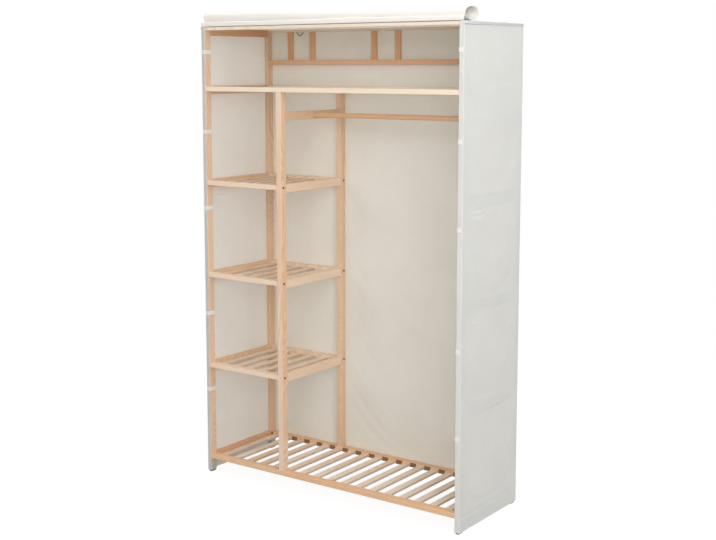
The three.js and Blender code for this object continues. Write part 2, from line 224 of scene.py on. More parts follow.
def pine(name, grain, shades, side_shade=0.0):
    """Pine whose grain runs along X, Y or Z all over the piece, with painted warm shade on its X faces as
    strong as the last argument
    """
    made, tree, surface = new_material(name, 0.55)
    place = axes_of(tree)
    order = {"X": (1, 2, 0), "Y": (0, 2, 1), "Z": (0, 1, 2)}[grain]
    across, up, along = (place[index] for index in order)
    cell = {axis: maths(tree, "SNAP", value, size) for axis, value, size in zip("XYZ", place, CELLS)}
    board = add(tree, "CombineXYZ", None, **cell).outputs[0]
    tone = add(tree, "TexWhiteNoise", {"noise_dimensions": "3D"}, Vector=board).outputs["Value"]
    # Painted shade: faces that look along X go warmer, as the uprights' sides stand in shade
    edge = times(tree, maths(tree, "ABSOLUTE", axes_of(tree, "Normal")[0]), side_shade)
    own = times(tree, tone, 0.0 if grain == "Z" else 0.22)
    pine_surface(tree, surface, shades, across, up, along, maths(tree, "ADD", own, edge))
    return made


# %% [markdown]
# ## Pine on a slatted shelf
#
# A shelf is one CAD piece, but it is made of many boards: two rails along X, and slats along Y
# between them. The material tells them apart by place. Near the front and back edges the grain runs
# along the rails, elsewhere it runs along the slats, and each slat gets a number of its own from
# its place in the row, which moves its rings and changes its tone a little. One side of each slat
# and, on some shelves, the back rail between the slats' ends are darker: painted shade, where the
# slats' sides and the gaps at their ends lie in shadow.


# %% Pine on a slatted shelf
SLAT_PITCH = 0.0635
FIRST_SLAT = 0.0120
HALF_SLOT = 0.0168
SLOT_STARTS = 0.285
LEVEL_STEP, LEVEL_SHIFT = 0.2, 0.37
# The dark colour of the painted shade on the slats' sides and in the slots
SHADED_PINE = paint(128, 84, 52)


def slatted_pine(name, shelf_start, shades, slot_shade, slat_tone=0.0, rail_tone=0.0):
    """Pine for rails and slats in one, from the shelf's left end on, with painted shade on the slats' sides
    and, by the share given, in its slots
    """
    made, tree, surface = new_material(name, 0.55)
    place = axes_of(tree)
    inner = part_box("post_front_left")[1].y
    rail = maths(tree, "GREATER_THAN", maths(tree, "ABSOLUTE", place[1]), abs(inner) - 0.0001)
    slat = maths(tree, "SUBTRACT", 1.0, rail)
    row_start = shelf_start + FIRST_SLAT - HALF_SLOT
    in_row = maths(tree, "DIVIDE", maths(tree, "SUBTRACT", place[0], row_start), SLAT_PITCH)
    number = times(tree, maths(tree, "FLOOR", in_row), slat)
    own = add(tree, "TexWhiteNoise", {"noise_dimensions": "1D"}, W=number).outputs["Value"]
    level = times(tree, maths(tree, "FLOOR", maths(tree, "DIVIDE", place[2], LEVEL_STEP)), LEVEL_SHIFT)
    across = maths(tree, "ADD", times(tree, place[1], rail),
                   times(tree, maths(tree, "ADD", place[0], own), slat))
    along = maths(tree, "ADD", times(tree, place[0], rail),
                  times(tree, maths(tree, "ADD", place[1], own), slat))
    up = maths(tree, "ADD", place[2], level)
    tone = times(tree, maths(tree, "SUBTRACT", own, 0.3), 0.55)
    for part, change in ((rail, rail_tone), (slat, slat_tone)):
        tone = maths(tree, "ADD", tone, times(tree, part, change))
    pine_surface(tree, surface, shades, across, up, along, tone)
    facing = axes_of(tree, "Normal")
    # Painted shade: the slats' sides that face +X, and the back rail's face in the slots between the slats'
    # ends, go towards a dark shade colour
    shaded_side = times(tree, maths(tree, "GREATER_THAN", facing[0], 0.6), slat)
    off_middle = maths(tree, "ABSOLUTE", maths(tree, "SUBTRACT", maths(tree, "FRACT", in_row), 0.5))
    between = times(tree, maths(tree, "GREATER_THAN", off_middle, SLOT_STARTS), rail)
    inwards = times(tree, maths(tree, "LESS_THAN", facing[1], -0.6), maths(tree, "GREATER_THAN", place[1], 0.0))
    slot = times(tree, between, inwards)
    painted_shade = maths(tree, "ADD", times(tree, shaded_side, 0.35), times(tree, slot, slot_shade))
    link = surface.inputs["Base Color"].links[0]
    planed = link.from_socket
    tree.links.remove(link)
    feed(tree, surface.inputs["Base Color"], blend_colours(tree, painted_shade, planed, SHADED_PINE))
    return made


# %% [markdown]
# ## Cloth
#
# The cover is a plain-woven cotton cloth, off-white and quite matt. Its weave repeats every 0.7
# millimetres, too fine to see from where the camera stands, yet it breaks up the light close by.
# The weave follows the sheet as it folds, so it reads the sheet's own UV map, which is laid out in
# metres. Slubs, the thicker stretches of a yarn, give the cloth its uneven look. Subsurface light
# stands for what comes through, more on the left side and the top, where the inside is seen.


# %% Cloth
THREAD = 0.0007


def cloth(name, colour, shade, lets_through, scatter=0.004):
    """Plain-woven cloth on a UV map in metres, thin enough to let some light through"""
    made, tree, surface = new_material(name, 0.92)
    spot = axes_of(tree, "UV")[:2]
    warp, weft = (maths(tree, "SINE", times(tree, value, 2 * math.pi / THREAD)) for value in spot)
    weave = times(tree, warp, weft)
    slub = maths(tree, "ADD", mottle(tree, stretched(tree, spot, (700.0, 28.0)), 2.0),
                 mottle(tree, stretched(tree, spot, (28.0, 700.0)), 2.0))
    uneven = mottle(tree, place_of(tree), 3.0, 7.0)
    share = maths(tree, "MULTIPLY_ADD", spread(tree, slub, 0.75, 1.3), 0.35,
                  spread(tree, uneven, 0.3, 0.7, 0.0, 0.45))
    base = blend_colours(tree, times(tree, share, 0.55), colour, shade)
    base = blend_colours(tree, spread(tree, weave, -1.0, 1.0, 0.12, 0.0), base, shade)
    feed(tree, surface.inputs["Base Color"], base)
    surface.inputs["Sheen Weight"].default_value = 0.12
    surface.inputs["Sheen Roughness"].default_value = 0.5
    surface.inputs["Specular IOR Level"].default_value = 0.25
    surface.inputs["Subsurface Weight"].default_value = lets_through
    surface.inputs["Subsurface Scale"].default_value = scatter
    surface.inputs["Subsurface Radius"].default_value = (1.0, 0.86, 0.7)
    relief(tree, surface, maths(tree, "MULTIPLY_ADD", slub, 0.8, weave), 0.4, 0.00012)
    return made


cover_cloth = cloth("cover_cloth", paint(238, 238, 233), paint(218, 217, 209), 0.5)
side_cloth = cloth("side_cloth", paint(235, 237, 234), paint(215, 216, 210), 0.25)
far_side_cloth = cloth("far_side_cloth", paint(240, 238, 232), paint(220, 217, 208), 0.7, 0.01)
roof_cloth = cloth("roof_cloth", paint(238, 238, 233), paint(218, 217, 209), 0.8, 0.01)
# The door is a brighter copy of the cover's cloth: painted light on the roll, which lies on top in the light
door_cloth = cloth("door_cloth", paint(246, 245, 241), paint(232, 230, 223), 0.0)

# %% [markdown]
# ## Tape, thread, cord, plastic and steel
#
# The straps are hook-and-loop tape with a fuzzy loop face, a brighter white than the cloth. The
# thread of the stitches is white too. The feet are moulded grey plastic on dark glides, and the few
# bolts that show are dull brown steel.


# %% Tape, thread, cord, plastic and steel
def tape_material():
    made, tree, surface = new_material("loop_tape", 0.95)
    place = place_of(tree)
    pile = add(tree, "TexNoise", None, Vector=place, Scale=1900.0, Detail=3.0, Roughness=0.7).outputs["Fac"]
    patch = mottle(tree, place, 2.0, 60.0)
    base = blend_colours(tree, spread(tree, pile, 0.35, 0.65, 0.0, 0.5),
                         paint(246, 245, 240), paint(236, 234, 228))
    base = blend_colours(tree, spread(tree, patch, 0.4, 0.7, 0.0, 0.25), base, paint(244, 242, 236))
    feed(tree, surface.inputs["Base Color"], base)
    surface.inputs["Sheen Weight"].default_value = 0.2
    relief(tree, surface, pile, 0.7, 0.0003)
    return made


def thread_material():
    made, tree, surface = new_material("white_thread", 0.8)
    twist = mottle(tree, place_of(tree), 1.0, 2600.0)
    feed(tree, surface.inputs["Base Color"],
         blend_colours(tree, twist, paint(244, 243, 238), paint(214, 212, 204)))
    relief(tree, surface, twist, 0.5, 0.0001)
    return made


def cord_material():
    made, tree, surface = new_material("braided_cord", 0.85)
    spot = axes_of(tree, "UV")
    left, right = (maths(tree, "SINE", times(tree, maths(tree, way, spot[0], spot[1]), 2600.0))
                   for way in ("ADD", "SUBTRACT"))
    braid = maths(tree, "MAXIMUM", left, right)
    base = blend_colours(tree, spread(tree, braid, -0.2, 1.0), paint(46, 38, 32), paint(96, 84, 72))
    feed(tree, surface.inputs["Base Color"], base)
    relief(tree, surface, braid, 0.8, 0.0003)
    return made


def foot_material(pad_height):
    made, tree, surface = new_material("moulded_foot", 0.5)
    place = place_of(tree)
    height = add(tree, "SeparateXYZ", None, Vector=place).outputs[2]
    scuff = mottle(tree, place, 4.0, 160.0)
    worn = spread(tree, scuff, 0.45, 0.75, 0.0, 0.6)
    body = blend_colours(tree, worn, paint(206, 201, 188), paint(182, 176, 162))
    base = blend_colours(tree, maths(tree, "LESS_THAN", height, pad_height), body, paint(44, 41, 38))
    feed(tree, surface.inputs["Base Color"], base)
    feed(tree, surface.inputs["Roughness"], spread(tree, scuff, 0.3, 0.7, 0.42, 0.6))
    relief(tree, surface, mottle(tree, place, 2.0, 1400.0), 0.4, 0.00008)
    return made


def steel_material():
    made, tree, surface = new_material("dull_steel", 0.4)
    wear = mottle(tree, place_of(tree), 3.0, 900.0)
    base = blend_colours(tree, spread(tree, wear, 0.4, 0.75), paint(104, 88, 76), paint(142, 124, 106))
    feed(tree, surface.inputs["Base Color"], base)
    surface.inputs["Metallic"].default_value = 0.3
    feed(tree, surface.inputs["Roughness"], spread(tree, wear, 0.3, 0.7, 0.3, 0.5))
    return made


FOOT_PAD = 0.0052
loop_tape = tape_material()
white_thread = thread_material()
braided_cord = cord_material()
dull_steel = steel_material()
moulded_foot = foot_material(FOOT_PAD)

# %% [markdown]
# ## Dressing the timber
#
# The CAD timbers have the right shape already, with eased edges, so they stay and only get their
# material. Each goes by its name: posts and lattice uprights stand, long rails and the rod lie
# along X, and side rails lie along Y.

# %% Dressing the timber
side_pine = pine("side_pine", "Y", MIDDLE_BOARD)
pale_side_pine = pine("pale_side_pine", "Y", PALE_BOARD)
warm_side_pine = pine("warm_side_pine", "Y", WARM_BOARD)
rear_post_pine = pine("rear_post_pine", "Z", MIDDLE_BOARD)
# The uprights get painted warm shade on their X faces
upright_pine = pine("upright_pine", "Z", UPRIGHT_BOARD, 0.25)
# The first name that a node starts with gives its material, so the special pieces come first
TIMBERS = {
    "post_back_": rear_post_pine,
    "divider_post_back": rear_post_pine,
    "post_": upright_pine,
    "divider_post_": upright_pine,
    "lattice_upright_": pine("lattice_upright_pine", "Z", WARM_BOARD),
    "lattice_rail": pine("lattice_rail_pine", "X", WARM_BOARD),
    "top_rail_": pine("long_pine", "X", CREAM_BOARD),
    "hanging_rod": pine("rod_pine", "X", ROD_WOOD),
    "side_rail_divider_": pale_side_pine,
    "side_rail_left_top": warm_side_pine,
    "side_rail_left_bottom": warm_side_pine,
    "side_rail_": side_pine,
    "rod_rail_": side_pine,
    "foot_": moulded_foot,
}
# Shades, painted shade in the slots, and how far slats and rails go towards the darker shades; these shades and
# tones carry painted light and shade too
SHELVES = {
    "hat_shelf": (CREAM_BOARD, 0.0),
    "bottom_shelf": (FLOOR_SHELF_BOARD, 0.9, -0.45, 0.5),
    "column_shelf": (PALE_BOARD, 0.15, -0.4, -0.3),
}
for name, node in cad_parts.items():
    kind = next((kind for start, kind in TIMBERS.items() if name.startswith(start)), None)
    for start, look in SHELVES.items():
        if name.startswith(start):
            kind = slatted_pine(f"{name}_pine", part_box(name)[0].x, *look)
    if kind:
        for slot in node.material_slots:
            slot.material = kind
print("timber pieces dressed")

# %% [markdown]
# ## Helpers for sheets
#
# A sheet of cloth starts as a flat grid. Each line of the grid has a station, its distance in
# metres from the sheet's edge, and the stations crowd together where a crease or a seam needs them.
# Every point then moves to its place on the object, while its UV keeps where it was on the flat
# cloth. The sheet gets its thickness at the end, from the Solidify modifier.


# %% Helpers for sheets
def deselect():
    if bpy.context.object and bpy.context.object.mode != "OBJECT":
        bpy.ops.object.mode_set(mode="OBJECT")
    bpy.ops.object.select_all(action="DESELECT")


def make_active(piece):
    deselect()
    piece.select_set(True)
    bpy.context.view_layer.objects.active = piece


FINE_OFFSETS = (-0.003, -0.0012, 0, 0.0012, 0.003)
CLEAR_OF_FINE = 0.0045
LEAST_STEP = 0.0004


def stations(start, end, step, *fine):
    """Places from start to end, about a step apart, with five close together at each fine one"""
    count = max(1, round((end - start) / step))
    marks = [start + (end - start) * index / count for index in range(count + 1)]
    for spot in fine:
        near = [spot + offset for offset in FINE_OFFSETS if start < spot + offset < end]
        marks = [value for value in marks if value in (start, end) or abs(value - spot) > CLEAR_OF_FINE] + near
    marks.sort()
    return [value for index, value in enumerate(marks) if index == 0 or value - marks[index - 1] > LEAST_STEP]


def lay_sheet(name, across, along, place):
    """A grid with a line at every station, each point put where place(across, along) says"""
    deselect()
    bpy.ops.mesh.primitive_grid_add(x_subdivisions=len(across) - 1, y_subdivisions=len(along) - 1, size=1)
    sheet = bpy.context.object
    sheet.name = sheet.data.name = name
    wide = len(across)
    for point in sheet.data.vertices:
        point.co = place(across[point.index % wide], along[point.index // wide])
    layer = sheet.data.uv_layers.active.data
    for corner in sheet.data.loops:
        index = corner.vertex_index
        layer[corner.index].uv = (across[index % wide], along[index // wide])
    return sheet


def face_towards(sheet, outwards):
    """Turns the sheet's faces so that they look outwards, as a vector for each face's middle says"""
    score = sum(face.normal.dot(outwards(face.center)) * face.area for face in sheet.data.polygons)
    if score < 0:
        sheet.data.flip_normals()


def thicken(sheet, thickness, offset=-1):
    make_active(sheet)
    wall = sheet.modifiers.new("thickness", "SOLIDIFY")
    wall.thickness = thickness
    wall.offset = offset
    wall.use_even_offset = True
    bpy.ops.object.modifier_apply(modifier="thickness")
    bpy.ops.object.shade_smooth_by_angle(angle=math.radians(50))


# %% [markdown]
# ## Letting a sheet hang
#
# Where the cloth lies on a timber it can't move, and between the timbers it can. A few frames of
# cloth simulation, with those points held and a little spare cloth, let it find its own small
# folds. The spare cloth is the negative shrink: the sheet wants to be that much larger than it is.


# %% Letting a sheet hang
def hang(sheet, held, spare, cap, frames=14):
    """Cloth simulation on a sheet whose held points stay, with no point going further than cap"""
    start = [point.co.copy() for point in sheet.data.vertices]
    make_active(sheet)
    group = sheet.vertex_groups.new(name="held")
    fixed = [point.index for point in sheet.data.vertices if held(point.co)]
    group.add(fixed, 1, "REPLACE")
    fall = sheet.modifiers.new("fall", "CLOTH")
    fall.settings.vertex_group_mass = "held"
    fall.settings.quality = 5
    fall.settings.mass = 0.15
    fall.settings.tension_stiffness = 20
    fall.settings.compression_stiffness = 20
    fall.settings.shear_stiffness = 8
    fall.settings.bending_stiffness = 0.6
    fall.settings.shrink_min = spare
    fall.collision_settings.use_collision = False
    fall.point_cache.frame_start = 1
    fall.point_cache.frame_end = frames
    for number in range(1, frames + 1):
        bpy.context.scene.frame_set(number)
    bpy.ops.object.modifier_apply(modifier="fall")
    bpy.context.scene.frame_set(1)
    moved = 0
    for point, first in zip(sheet.data.vertices, start):
        step = point.co - first
        if step.length > cap:
            point.co = first + step * (cap / step.length)
        moved = max(moved, step.length)
    sheet.vertex_groups.clear()
    print(sheet.name, "hung; furthest move", round(moved * 1000, 1), "mm")


def ease(value, low, high):
    """0 below low, 1 above high, and a smooth rise between"""
    share = min(1, max(0, (value - low) / (high - low)))
    return share * share * (3 - 2 * share)


# %% [markdown]
# ## Where the timbers are
#
# The cover lies tight on the timbers, so its shape follows from theirs. The names of the CAD pieces
# give their boxes, and with them the bays between.

# %% Where the timbers are
post_low, post_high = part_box("post_front_left")
back_low, back_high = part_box("post_back_right")
FRONT, BACK = post_low.y, back_high.y
SIDE, TOP = back_high.x, back_high.z
FRONT_INNER, BACK_INNER = post_high.y, back_low.y
POST_INNER = SIDE - (post_high.x - post_low.x)
CLOTH = 0.0012
GAP = 0.0003
OUT = GAP + CLOTH
COVER_SIDE, COVER_FRONT, COVER_BACK, COVER_TOP = SIDE + OUT, FRONT - OUT, BACK + OUT, TOP + OUT
SIDE_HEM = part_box("cover_side_left")[0].z
BACK_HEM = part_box("cover_back")[0].z
HEM = 0.045
rail_names = {"left": [], "right": []}
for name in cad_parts:
    for side in rail_names:
        if name.startswith(f"side_rail_{side}_") or name == f"rod_rail_{side}":
            rail_names[side].append(name)
side_rails = {side: sorted((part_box(name)[0].z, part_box(name)[1].z) for name in names)
              for side, names in rail_names.items()}
print("side rails", {side: len(rails) for side, rails in side_rails.items()})


def into_bay(value, timbers):
    """How far a value is from the nearest timber, or 0 on one"""
    return min(max(low - value, value - high, 0) for low, high in timbers)


# %% [markdown]
# ## The side panels and their facings
#
# Each side of the cover is one length of cloth. It comes round the front post as a narrow facing,
# which is cut by hand and so never quite straight, turns the corner and runs to the back. Over the
# timbers it lies flat. Between them it sinks in a little, and where it leaves the lower edge of a
# shelf rail it creases. The lower edge is a hem, folded up twice and a little thicker.

# %% The side panels and their facings
SINK, SINK_RUN = 0.0012, 0.008
CORNER = 0.0022
FACING = 0.016
HEM_THICKER = 0.0010
SEAM_INSET = 0.004
TOP_SEAM = 0.011
# How far below a rail each crease lies, how calmly it wanders, and how deep it is
CREASES = ((0.018, 1, 0.0034), (0.033, 2, 0.0018))
CREASE_WIDTH = 0.0055
CREASE_ROWS = (0.009, 0.0135, 0.018, 0.0225, 0.027, 0.0315, 0.036)
# Height above the floor, and how wide the facing is there
FACING_WIDTHS = {
    "left": [(0.0, 0.0165), (0.35, 0.0157), (0.62, 0.0160), (0.9, 0.0148), (1.2, 0.0172), (1.7, 0.0174)],
    "right": [(0.0, 0.0172), (0.5, 0.0168), (0.95, 0.0174), (1.3, 0.0166), (1.7, 0.0173)],
}


def along_table(table, value):
    """A value read off a table of points, straight between them"""
    for (x0, y0), (x1, y1) in zip(table, table[1:]):
        if value <= x1:
            return y0 + (y1 - y0) * (value - x0) / (x1 - x0)
    return table[-1][1]


def crease_levels(side):
    """The lower edges of the rails that the column's shelves hang on"""
    return [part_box(f"side_rail_{side}_{shelf}")[0].z for shelf in ("upper", "middle", "lower")]


def side_relief(y, z, side):
    """How far the side panel stands inwards of its outer plane at a point"""
    rails = side_rails[side]
    depth = into_bay(y, [(FRONT, FRONT_INNER), (BACK_INNER, BACK)])
    height = into_bay(z, rails) if z > rails[0][0] else 0
    sunk = SINK * (1 - math.exp(-depth / SINK_RUN)) * (0.5 + 0.5 * (1 - math.exp(-height / 0.06)))
    for low in crease_levels(side):
        wander = 0.004 * noise.noise(Vector((y * 9, low * 9, 1))) + 0.035 * (y - FRONT - 0.15)
        faint = 0.6 + 0.7 * noise.noise(Vector((y * 16, low * 5, 3)))
        for below, calm, strength in CREASES:
            level = low - below + wander / calm
            crease = strength * max(0, faint) * math.exp(-((z - level) / CREASE_WIDTH) ** 2)
            sunk += crease * ease(depth, 0.005, 0.04)
    flutter = noise.noise(Vector((y * 14, z * 1.3, 5 if side == "left" else 9)))
    sunk -= 0.0006 * flutter * ease(depth, 0, 0.05) * ease(height, 0, 0.06)
    return sunk


def hem_relief(z, low):
    """The hem's double cloth, and the groove that its stitches pull"""
    raised = HEM_THICKER * (1 - ease(z, low + HEM - 0.001, low + HEM + 0.001))
    groove = 0.0005 * math.exp(-((z - low - HEM + SEAM_INSET) / 0.001) ** 2)
    return raised - groove


def facing_width(side, z):
    return along_table(FACING_WIDTHS[side], z) + 0.0006 * noise.noise(Vector((z * 21, len(side), 0)))


def side_panel(side):
    sign = -1 if side == "left" else 1
    turn = math.pi / 2 * CORNER
    deep = COVER_BACK - COVER_FRONT - CORNER
    wide = FACING + turn + deep
    length = COVER_TOP - SIDE_HEM

    def place(u, v):
        z = SIDE_HEM + v
        loose = 0.0005 * (1 + noise.noise(Vector((z * 16, 3 * sign, 2))))
        if u < FACING:
            share = 1 - u / FACING
            x = COVER_SIDE - CORNER - share * (facing_width(side, z) - CORNER)
            y = COVER_FRONT - loose * ease(share, 0.3, 1) * 1.5
        elif u < FACING + turn:
            angle = (u - FACING) / CORNER
            x = COVER_SIDE - CORNER + CORNER * math.sin(angle)
            y = COVER_FRONT + CORNER - CORNER * math.cos(angle)
        else:
            y = COVER_FRONT + CORNER + u - FACING - turn
            seam = 0.0005 * math.exp(-((z - COVER_TOP + TOP_SEAM) / 0.0012) ** 2)
            x = COVER_SIDE - side_relief(y, z, side) + hem_relief(z, SIDE_HEM) - seam
        return Vector((sign * x, y, z))

    across = [FACING * index / 4 for index in range(4)] + [FACING + turn * index / 4 for index in range(4)]
    across += stations(FACING + turn, wide, 0.0075)
    creases = [low - offset for low in crease_levels(side) for offset in CREASE_ROWS]
    fine = [level - SIDE_HEM for level in creases] + [HEM - SEAM_INSET, HEM, length - TOP_SEAM]
    along = stations(0, length, 0.0075, *fine)
    sheet = lay_sheet(f"cover_{side}", across, along, place)
    face_towards(sheet, lambda middle: Vector((sign, -0.2, 0)))
    rails = side_rails[side]

    def held(point):
        depth = into_bay(point.y, [(COVER_FRONT - 0.01, FRONT_INNER + 0.004), (BACK_INNER - 0.004, COVER_BACK)])
        height = into_bay(point.z, [(low - 0.014, high + 0.004) for low, high in rails])
        return depth == 0 or height == 0 or point.z < rails[0][0]

    hang(sheet, held, -0.0002, cap=0.0012, frames=10)
    thicken(sheet, CLOTH)
    sheet.data.materials.append(far_side_cloth if side == "left" else side_cloth)
    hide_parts(f"cover_side_{side}", f"cover_facing_{side}")
    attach(sheet, "wardrobe")
    print(sheet.name, "cut", round(wide, 3), "by", round(length, 3))
    return sheet


side_sheets = {"left": side_panel("left"), "right": side_panel("right")}

# %% [markdown]
# ## The back panel
#
# The back is the largest sheet. It hangs on the outside of the back posts and rails and bellies out
# a little between them, because nothing pulls it tight. Seen through the front, it is the pale
# ground behind the shelves, so its slow folds matter more than their small size suggests.

# %% The back panel
back_rails = sorted((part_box(name)[0].z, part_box(name)[1].z)
                    for name in ("bottom_shelf", "hat_shelf", "lattice_rail"))
back_rails.append((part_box("top_rail_back")[0].z, TOP))
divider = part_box("divider_post_back")
BELLY, SLOW_FOLD = 0.0024, 0.0013
corner_posts = [(-SIDE, -POST_INNER), (POST_INNER, SIDE)]
back_posts = corner_posts + [(divider[0].x, divider[1].x)]


def posts_at(z):
    """The posts that the back panel lies on at a height; the divider's ends at the hat shelf"""
    return back_posts if z < back_rails[1][0] else corner_posts


def back_panel():
    wide, length = 2 * COVER_SIDE, COVER_TOP - BACK_HEM

    def place(u, v):
        x, z = u - COVER_SIDE, BACK_HEM + v
        aside = into_bay(x, posts_at(z))
        above = into_bay(z, back_rails)
        belly = BELLY * (1 - math.exp(-aside / 0.06)) * (1 - math.exp(-above / 0.06))
        fold = noise.noise(Vector((x * 6.5, z * 1.6, 1))) + 0.5 * noise.noise(Vector((x * 15, z * 3, 7)))
        belly += SLOW_FOLD * fold * ease(aside, 0, 0.05) * ease(above, 0, 0.06)
        y = COVER_BACK + max(0, belly) + hem_relief(z, BACK_HEM) * 0.9
        return Vector((x, y, z))

    across = stations(0, wide, 0.0085)
    along = stations(0, length, 0.0085, HEM - SEAM_INSET, HEM)
    sheet = lay_sheet("cover_rear", across, along, place)
    face_towards(sheet, lambda middle: Vector((0, 1, 0)))

    def held(point):
        aside = into_bay(point.x, [(low - 0.004, high + 0.004) for low, high in posts_at(point.z)])
        above = into_bay(point.z, [(low - 0.004, high + 0.004) for low, high in back_rails])
        return aside == 0 or above == 0

    hang(sheet, held, -0.0006, cap=0.004)
    for point in sheet.data.vertices:
        point.co.y = max(point.co.y, COVER_BACK)
    thicken(sheet, CLOTH)
    sheet.data.materials.append(cover_cloth)
    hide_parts("cover_back")
    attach(sheet, "wardrobe")
    print(sheet.name, "cut", round(wide, 3), "by", round(length, 3))
    return sheet


rear_sheet = back_panel()

# %% [markdown]
# ## The top panel
#
# The top lies on the top rails and sags between them. Its side edges turn down over the side panels
# in a lip about a centimetre deep, where the two are sewn together.

# %% The top panel
LIP = 0.009
SAG, SAG_UNEVEN = 0.0035, 0.0012
ROLL_OVER = 0.0016
FOLD_STARTS = 0.001
ROOF_CLOTH = 0.0010


def top_panel():
    deep = COVER_BACK - COVER_FRONT
    wide = 2 * COVER_SIDE + 2 * LIP
    front_rail, rear_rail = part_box("top_rail_front"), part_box("top_rail_back")

    def place(u, v):
        x = u - wide / 2
        y = COVER_FRONT + v
        z = COVER_TOP
        aside = into_bay(x, [(-SIDE, -SIDE + 0.018), (SIDE - 0.018, SIDE)])
        away = into_bay(y, [(FRONT, front_rail[1].y), (rear_rail[0].y, BACK)])
        sag = SAG * (1 - math.exp(-aside / 0.07)) * (1 - math.exp(-away / 0.06))
        sag += SAG_UNEVEN * noise.noise(Vector((x * 8, y * 8, 4))) * ease(aside, 0, 0.05) * ease(away, 0, 0.05)
        z -= sag
        over = abs(x) - COVER_SIDE + FOLD_STARTS
        if over > 0:
            angle = min(over / ROLL_OVER, math.pi / 2)
            drop = max(0, over - ROLL_OVER * math.pi / 2)
            pull = 1 - ease(y, FRONT + 0.06, FRONT + 0.12)
            flare = 0.0006 * noise.noise(Vector((y * 30, x, 0))) + 0.0011 + 0.0026 * pull
            z -= ROLL_OVER * (1 - math.cos(angle)) + drop * (1 + 0.1 * pull)
            x = math.copysign(COVER_SIDE - FOLD_STARTS + ROLL_OVER * math.sin(angle) + flare * drop / LIP, x)
        return Vector((x, y, z + 0.0004))

    across = stations(0, wide, 0.0085, LIP, wide - LIP)
    along = stations(0, deep, 0.0075, SEAM_INSET, deep - SEAM_INSET)
    sheet = lay_sheet("cover_roof", across, along, place)
    face_towards(sheet, lambda middle: Vector((0, 0, 1)))

    def held(point):
        aside = into_bay(point.x, [(-SIDE - 0.1, -SIDE + 0.022), (SIDE - 0.022, SIDE + 0.1)])
        away = into_bay(point.y, [(FRONT - 0.1, front_rail[1].y + 0.004), (rear_rail[0].y - 0.004, BACK + 0.1)])
        return aside == 0 or away == 0

    hang(sheet, held, -0.0012, cap=0.004)
    thicken(sheet, ROOF_CLOTH)
    sheet.data.materials.append(roof_cloth)
    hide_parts("cover_top")
    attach(sheet, "wardrobe")
    print(sheet.name, "cut", round(wide, 3), "by", round(deep, 3))
    return sheet


roof_sheet = top_panel()

# %% [markdown]
# ## The rolled door
#
# The whole front of the cover is rolled up and laid on the top: a sheet nearly as long as the
# wardrobe is high. From its seam at the front edge it swells up in a soft lobe, runs back under the
# roll and winds inwards about nine times. It is loosely wound, so the roll is flatter than it is
# deep, is open at its core, and stands higher at its left end than at its right. Its inner turns are
# set back from its ends. The sheet's section is worked out first, as a line, and the grid is then
# wrapped along it.

# %% The rolled door
roll_low, roll_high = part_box("door_roll")
DOOR_REACH = 0.052
DOOR_INSET = 0.006
# How high and deep the roll is, how much lower it is at its right end, and how its lead swells
ROLL_HEIGHT, ROLL_DEPTH, ROLL_FALL, LEAD_SWELL = 0.0585, 0.0815, 0.0125, 0.036
# How far each turn lies inside the one before, across and up
TURN_ACROSS, TURN_UP = 0.00195, 0.00122
DOOR_TURNS = 9.3
DOOR_CLOTH = 0.0007
DOOR_LIES = 0.0009
TURN_STEPS = 30
LEAD_STEPS = 16


def bezier(share, points):
    a, b, c, d = points
    rest = 1 - share
    return a * rest ** 3 + b * 3 * share * rest ** 2 + c * 3 * share ** 2 * rest + d * share ** 3


def door_section(x):
    """The door's line at one place along the roll, from its seam inwards"""
    share = (x - roll_low.x) / (roll_high.x - roll_low.x)
    wave = noise.noise(Vector((x * 3.1, 0, 11)))
    height = ROLL_HEIGHT - ROLL_FALL * ease(share, 0.0, 1.0) + 0.0016 * wave
    depth = ROLL_DEPTH + 0.0022 * noise.noise(Vector((x * 2.6, 4, 0)))
    swell = LEAD_SWELL + 0.005 * noise.noise(Vector((x * 5.2, 8, 3)))
    base = DOOR_CLOTH
    lead = [Vector((0, 0)), Vector((0, swell)), Vector((DOOR_REACH / 4, base)), Vector((DOOR_REACH, base))]
    line = [bezier(index / LEAD_STEPS, lead) for index in range(LEAD_STEPS + 1)]
    for step in range(1, int(DOOR_TURNS * TURN_STEPS) + 1):
        wound = step / TURN_STEPS
        angle = 2 * math.pi * wound - math.pi / 2
        slack = 1 + 0.25 * noise.noise(Vector((wound * 0.6, x * 1.1, 2)))
        flat = depth / 2 - TURN_ACROSS * wound * slack
        tall = height / 2 - TURN_UP * wound * slack
        crease = noise.noise(Vector((x * 4.5, math.cos(angle) * 2.2, math.sin(angle) * 2.2 + 20)))
        crease += 0.45 * noise.noise(Vector((x * 13, math.cos(angle) * 5, math.sin(angle) * 5 + 9)))
        lift = 0.0016 * crease * ease(1 - math.sin(angle), 0.12, 0.5)
        sink = 0.0018 * max(0, math.sin(angle)) * (1 + math.sin(x * 7.3)) * 0.5
        line.append(Vector((DOOR_REACH + (flat + lift) * math.cos(angle),
                            base + height / 2 + (tall + lift - sink) * math.sin(angle))))
    return line


